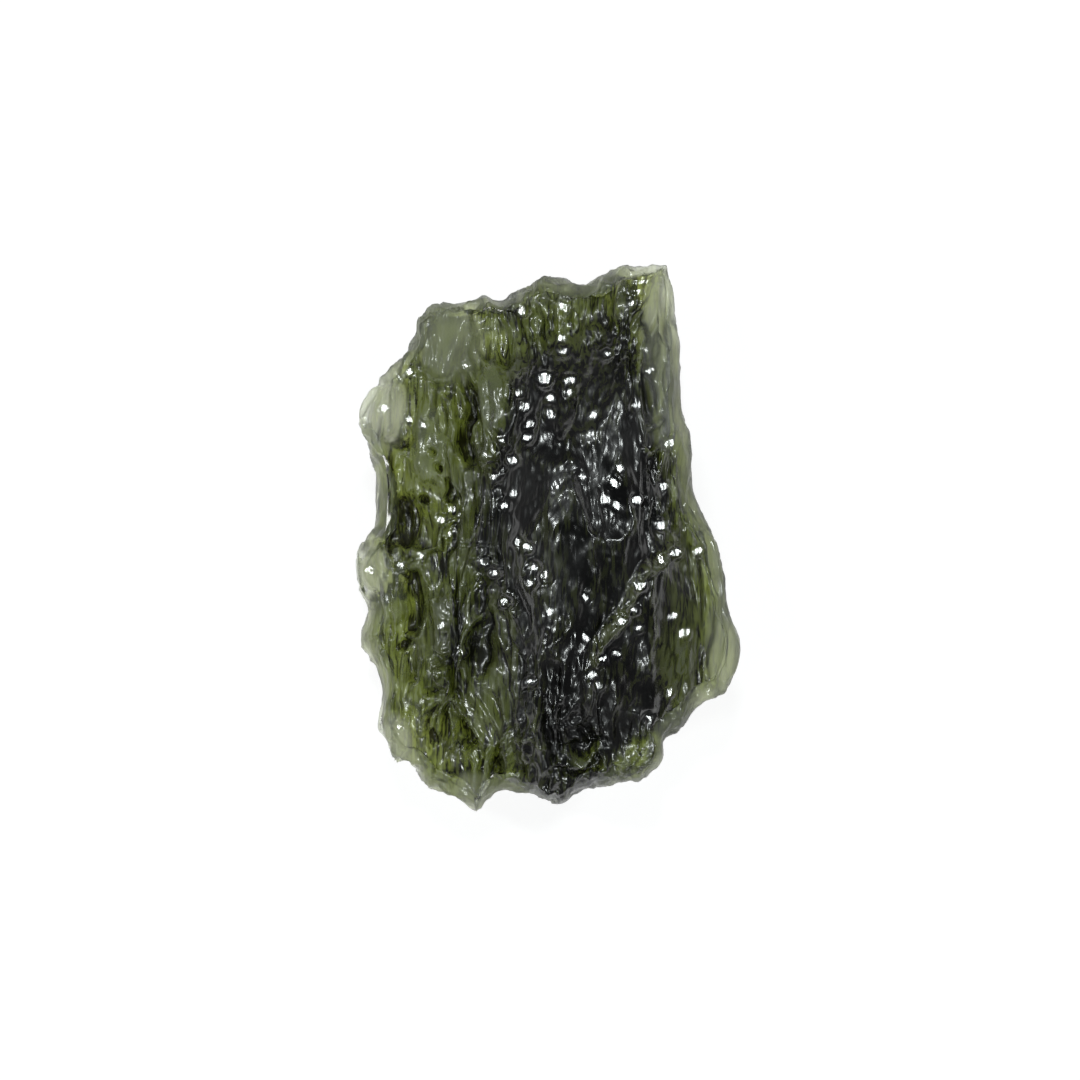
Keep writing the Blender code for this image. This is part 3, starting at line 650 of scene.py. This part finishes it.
def relief(points, normals):
    """How far each point of the body is moved out along its normal, below 0 where it moves in, and
    how much painted shade, a darker tint, lies there."""
    x, y, _ = points.T
    mark_x, mark_y, _ = (points + MARK_WAVER * shaken(points, MARK_WAVER_PACE)).T
    facing_up = smooth_step(*UPPER_FACING, normals[:, 2])
    facing_down = smooth_step(*LOWER_FACING, -normals[:, 2])
    near_rim = smooth_step(EDGE_FACING, 0.0, np.abs(normals[:, 2]))
    resting = facing_down * np.exp(-ellipse_distance(x, y, *REST_CENTRE, *REST_HALF) ** 2)
    broad_keep = 1.0 - (1.0 - REST_KEEP) * resting
    narrow_keep = broad_keep.copy()
    for *place, share in SMOOTH_PATCHES:
        narrow_keep *= 1.0 - share * in_patches(x, y, [place])
    pitted = in_patches(x, y, PITTED)
    bent = points + WAVER * shaken(points, WAVER_PACE)
    flutes = fluted(bent, NARROW_FLUTES, near_rim)
    pits = fluted(bent, PITTED_LAYERS, near_rim)
    depth = broad_keep * fluted(bent, BROAD_FLUTES, near_rim)
    depth += narrow_keep * ((1.0 - pitted) * flutes + pitted * pits)
    upper, lower = face_levels(x, y)
    deepest = DEEPEST_SHARE * (upper - lower)
    out = facing_up * named_marks(mark_x, mark_y) - deepest * np.tanh(depth / deepest)
    hollow = (1.0 - pitted) * flutes / total_depth(NARROW_FLUTES)
    hollow += pitted * pits / total_depth(PITTED_LAYERS)
    # Painted shade: a darker tint in the flute hollows, over thick glass and in the marked grooves and
    # pits, where shade would fall.
    painted_shade = FLUTE_SHADE * smooth_step(*FLUTE_HOLLOWS, hollow)
    painted_shade += THICK_GLASS_SHADE * smooth_step(*THICK_GLASS, upper - lower)
    groove_painted_shade = GROOVE_SHADE * (GROOVE_CREST_SHADE + (1.0 - GROOVE_CREST_SHADE) * hollow)
    painted_shade = np.maximum(painted_shade, groove_painted_shade * facing_up * groove_share(mark_x, mark_y))
    # The ridges lose their painted shade and take the pale painted highlight of the crests.
    painted_shade *= 1.0 - facing_up * ridge_share(mark_x, mark_y)
    painted_shade -= WINDOW_CLEARING * facing_up * in_patches(x, y, WINDOWS)
    return out, painted_shade


def fitted(points):
    """The points stretched a little, so that the stone has its stated size and is centred on the origin."""
    low, high = points.min(axis=0), points.max(axis=0)
    points[:, 0] = (points[:, 0] - (low[0] + high[0]) / 2.0) * WIDTH / (high[0] - low[0])
    points[:, 1] = (points[:, 1] - (low[1] + high[1]) / 2.0) * LENGTH / (high[1] - low[1])
    points[:, 2] = np.where(points[:, 2] > 0.0, points[:, 2] * THICKNESS / high[2], points[:, 2])
    return points


def set_points(mesh, points):
    """Moves the mesh's points to these places, given in millimetres."""
    mesh.vertices.foreach_set("co", (points * METRES_PER_MM).ravel())
    mesh.update()


def vertex_normals(mesh):
    """The way that each of the mesh's points faces."""
    normals = np.empty(len(mesh.vertices) * 3)
    mesh.vertex_normals.foreach_get("vector", normals)
    return normals.reshape(-1, 3)


def frosting(points, gap):
    """How frosted the surface is at each point, from 0, silky, to 1."""
    x, y, _ = points.T
    return np.maximum(in_patches(x, y, FROSTED), smooth_step(FROSTED_EDGE, 0.0, gap))


def stone_mesh(cuts):
    """The stone's whole surface, as fine as the number of cuts across a sixth of it."""
    mesh, ball = ball_mesh(cuts)
    points, gap = body_points(ball)
    set_points(mesh, points)
    normals = vertex_normals(mesh)
    out, painted_shade = relief(points, normals)
    points, gloss = with_facets(points + normals * out[:, None], normals)
    # The painted shade goes to the shader's tint along with the frost and the gloss.
    shares = {"frost": frosting(points, gap), "painted_shade": painted_shade, "gloss": gloss}
    for name, values in shares.items():
        mesh.attributes.new(name, "FLOAT", "POINT").data.foreach_set("value", values)
    points = fitted(points)
    # The small spot that the stone rests on is cut flat.
    points[:, 2] = np.maximum(points[:, 2], 0.0)
    set_points(mesh, points)
    mesh.shade_smooth()
    return mesh


def new_material(name):
    """A material with an empty node tree, and the tree."""
    material = bpy.data.materials.new(name)
    material.use_nodes = True
    material.node_tree.nodes.clear()
    return material, material.node_tree


def set_values(node, **values):
    """Sets a node's sockets, with each name's underscores as spaces."""
    for name, value in values.items():
        node.inputs[name.replace("_", " ")].default_value = value


def texture(tree, kind, size, stretch=1.0, **values):
    """A texture on the stone whose marks are this size across, and longer along Y."""
    place = tree.nodes.new("ShaderNodeTexCoord")
    lengthened = tree.nodes.new("ShaderNodeMapping")
    set_values(lengthened, Scale=(1.0, 1.0 / stretch, 1.0))
    tree.links.new(place.outputs["Object"], lengthened.inputs["Vector"])
    marks = tree.nodes.new(kind)
    set_values(marks, Scale=1.0 / (size * METRES_PER_MM), **values)
    tree.links.new(lengthened.outputs["Vector"], marks.inputs["Vector"])
    return marks


def mesh_share(tree, name):
    """One of the shares that stone_mesh gives each point, such as its frost."""
    attribute = tree.nodes.new("ShaderNodeAttribute")
    attribute.attribute_name = name
    return attribute.outputs["Fac"]


def ranged(tree, value, **limits):
    """A value moved from one range to another."""
    node = tree.nodes.new("ShaderNodeMapRange")
    set_values(node, **limits)
    tree.links.new(value, node.inputs["Value"])
    return node.outputs["Result"]


def bumped(tree, height, depth):
    """A bump node whose height stands this far out, in millimetres."""
    bump = tree.nodes.new("ShaderNodeBump")
    set_values(bump, Strength=1.0, Distance=depth * METRES_PER_MM)
    tree.links.new(height, bump.inputs["Height"])
    return bump


def add_etching(tree, shader):
    """Etching and grain in the glass, under a gloss that is flatter and brighter on the facets."""
    link = tree.links.new
    etching = texture(tree, "ShaderNodeTexVoronoi", ETCHING_SIZE, ETCHING_STRETCH)
    grain = texture(tree, "ShaderNodeTexNoise", GRAIN_SIZE, Detail=GRAIN_DETAIL)
    etched = bumped(tree, etching.outputs["Distance"], ETCHING_DEPTH)
    grained = bumped(tree, grain.outputs["Fac"], GRAIN_DEPTH)
    link(etched.outputs["Normal"], grained.inputs["Normal"])
    link(grained.outputs["Normal"], shader.inputs["Normal"])
    gloss = mesh_share(tree, "gloss")
    polished = bumped(tree, etching.outputs["Distance"], POLISH_ETCHING_DEPTH)
    link(ranged(tree, gloss, To_Min=1.0, To_Max=FACET_ETCHING), polished.inputs["Strength"])
    link(polished.outputs["Normal"], shader.inputs["Coat Normal"])
    link(ranged(tree, gloss, To_Min=POLISH, To_Max=FACET_POLISH), shader.inputs["Coat Weight"])


def add_roughness(tree, shader):
    """Silky glass, rougher in patches and where it is frosted."""
    size = 1.0 / ROUGH_PATCHES_PER_MM
    patches = texture(tree, "ShaderNodeTexNoise", size, Detail=ROUGH_PATCH_DETAIL)
    silk = ranged(
        tree,
        patches.outputs["Fac"],
        From_Min=ROUGH_PATCH_RANGE[0],
        From_Max=ROUGH_PATCH_RANGE[1],
        To_Min=ROUGHNESS_RANGE[0],
        To_Max=ROUGHNESS_RANGE[1],
    )
    roughened = tree.nodes.new("ShaderNodeMath")
    roughened.operation = "MULTIPLY_ADD"
    roughened.inputs[1].default_value = FROST_ROUGHNESS
    tree.links.new(mesh_share(tree, "frost"), roughened.inputs[0])
    tree.links.new(silk, roughened.inputs[2])
    tree.links.new(roughened.outputs["Value"], shader.inputs["Roughness"])


def painted_light_and_shade_tint(tree):
    """A pale painted highlight on the crests, clean glass below them, and painted shade in the hollows and
    over thick glass, with fine dark streaks.
    """
    streaks = texture(
        tree,
        "ShaderNodeTexNoise",
        STREAK_SIZE,
        STREAK_STRETCH,
        Detail=STREAK_DETAIL,
        Distortion=STREAK_WINDING,
    )
    low, high = STREAK_RANGE
    streaked = ranged(tree, streaks.outputs["Fac"], From_Min=low, From_Max=high, To_Max=STREAK_SHARE)
    # Fine dark streaks along the flutes, added to the painted shade.
    shade_and_streaks = tree.nodes.new("ShaderNodeMath")
    shade_and_streaks.operation = "ADD"
    shade_and_streaks.use_clamp = True
    tree.links.new(mesh_share(tree, "painted_shade"), shade_and_streaks.inputs[0])
    tree.links.new(streaked, shade_and_streaks.inputs[1])
    tint = tree.nodes.new("ShaderNodeValToRGB")
    clean = tint.color_ramp.elements.new(CLEAN_GLASS_SHADE)
    clean.color = CLEAN_TINT
    # Crests get a pale painted highlight, and the hollows a dark painted shade.
    tint.color_ramp.elements[0].color = CREST_HIGHLIGHT_TINT
    tint.color_ramp.elements[-1].color = PAINTED_SHADE_TINT
    tree.links.new(shade_and_streaks.outputs["Value"], tint.inputs["Fac"])
    return tint.outputs["Color"]


def add_tint(tree, shader):
    """The tint of painted light and shade, paled where the glass is frosted."""
    frosted = tree.nodes.new("ShaderNodeMath")
    frosted.operation = "MULTIPLY"
    frosted.inputs[1].default_value = FROST_SHARE
    tree.links.new(mesh_share(tree, "frost"), frosted.inputs[0])
    paled = tree.nodes.new("ShaderNodeMix")
    paled.data_type = "RGBA"
    colours = [socket for socket in paled.inputs if socket.type == "RGBA"]
    colours[1].default_value = FROST_TINT
    tree.links.new(frosted.outputs["Value"], paled.inputs["Factor"])
    tree.links.new(painted_light_and_shade_tint(tree), colours[0])
    mixed = next(socket for socket in paled.outputs if socket.type == "RGBA")
    tree.links.new(mixed, shader.inputs["Base Color"])


def moldavite_glass():
    """Clear green glass, coloured through its depth, with an etched surface and a tint of painted shade and
    highlight.
    """
    material, tree = new_material("moldavite_glass")
    output = tree.nodes.new("ShaderNodeOutputMaterial")
    shader = tree.nodes.new("ShaderNodeBsdfPrincipled")
    set_values(shader, IOR=GLASS_IOR, Transmission_Weight=CLEARNESS)
    set_values(shader, Coat_Roughness=POLISH_ROUGHNESS, Coat_IOR=GLASS_IOR)
    tree.links.new(shader.outputs["BSDF"], output.inputs["Surface"])
    absorption = tree.nodes.new("ShaderNodeVolumeAbsorption")
    set_values(absorption, Color=ABSORPTION_COLOUR, Density=ABSORPTION_DENSITY)
    tree.links.new(absorption.outputs["Volume"], output.inputs["Volume"])
    add_etching(tree, shader)
    add_roughness(tree, shader)
    add_tint(tree, shader)
    return material


def floor_material():
    """Plain pale floor, lit a little from below like a light table."""
    material, tree = new_material("pale_floor")
    output = tree.nodes.new("ShaderNodeOutputMaterial")
    shader = tree.nodes.new("ShaderNodeBsdfPrincipled")
    set_values(
        shader,
        Base_Color=FLOOR_COLOUR,
        Roughness=FLOOR_ROUGHNESS,
        Emission_Color=FLOOR_GLOW_COLOUR,
        Emission_Strength=FLOOR_GLOW,
    )
    tree.links.new(shader.outputs["BSDF"], output.inputs["Surface"])
    return material


def add_stone():
    stone = bpy.data.objects.new("moldavite_stone", stone_mesh(SPHERE_CUTS))
    bpy.context.scene.collection.objects.link(stone)
    stone.data.materials.append(moldavite_glass())
    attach(stone, "root")
    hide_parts("moldavite")


def add_floor():
    half = FLOOR_SIDE / 2.0 * METRES_PER_MM
    mesh = bpy.data.meshes.new("floor")
    corners = [(-half, -half, 0.0), (half, -half, 0.0), (half, half, 0.0), (-half, half, 0.0)]
    mesh.from_pydata(corners, [], [(0, 1, 2, 3)])
    floor = bpy.data.objects.new("floor", mesh)
    bpy.context.scene.collection.objects.link(floor)
    mesh.materials.append(floor_material())


def add_sky():
    """Even surroundings that are bright at the horizon and dim overhead."""
    world = bpy.data.worlds.new("studio")
    bpy.context.scene.world = world
    world.use_nodes = True
    nodes, link = world.node_tree.nodes, world.node_tree.links.new
    nodes.clear()
    place = nodes.new("ShaderNodeTexCoord")
    parts = nodes.new("ShaderNodeSeparateXYZ")
    ramp = nodes.new("ShaderNodeValToRGB")
    while len(ramp.color_ramp.elements) < len(SKY_STOPS):
        ramp.color_ramp.elements.new(0.5)
    for element, (position, colour) in zip(ramp.color_ramp.elements, SKY_STOPS):
        element.position = position
        element.color = colour
    sky = nodes.new("ShaderNodeBackground")
    output = nodes.new("ShaderNodeOutputWorld")
    link(place.outputs["Generated"], parts.inputs["Vector"])
    link(parts.outputs["Z"], ramp.inputs["Fac"])
    link(ramp.outputs["Color"], sky.inputs["Color"])
    link(sky.outputs["Background"], output.inputs["Surface"])


def add_softboxes():
    for number, (azimuth, elevation, distance, side, strength) in enumerate(SOFTBOXES):
        place = softbox_place(azimuth, elevation, distance)
        light = bpy.data.lights.new(f"softbox_{number}", "AREA")
        light.size = side * METRES_PER_MM
        light.energy = strength * math.pi * light.size**2
        light.color = SOFTBOX_COLOUR
        box = bpy.data.objects.new(light.name, light)
        box.location = place * METRES_PER_MM
        box.rotation_euler = place.to_track_quat("Z", "Y").to_euler()
        bpy.context.scene.collection.objects.link(box)


def add_camera():
    data = bpy.data.cameras.new("camera")
    data.sensor_width = SENSOR
    data.lens = LENS
    data.clip_start = NEAREST_SEEN
    camera = bpy.data.objects.new("camera", data)
    camera.location = Vector(CAMERA_PLACE) * METRES_PER_MM
    bpy.context.scene.collection.objects.link(camera)
    bpy.context.scene.camera = camera


add_stone()
add_floor()
add_sky()
add_softboxes()
add_camera()
bpy.context.scene.view_settings.view_transform = "Standard"
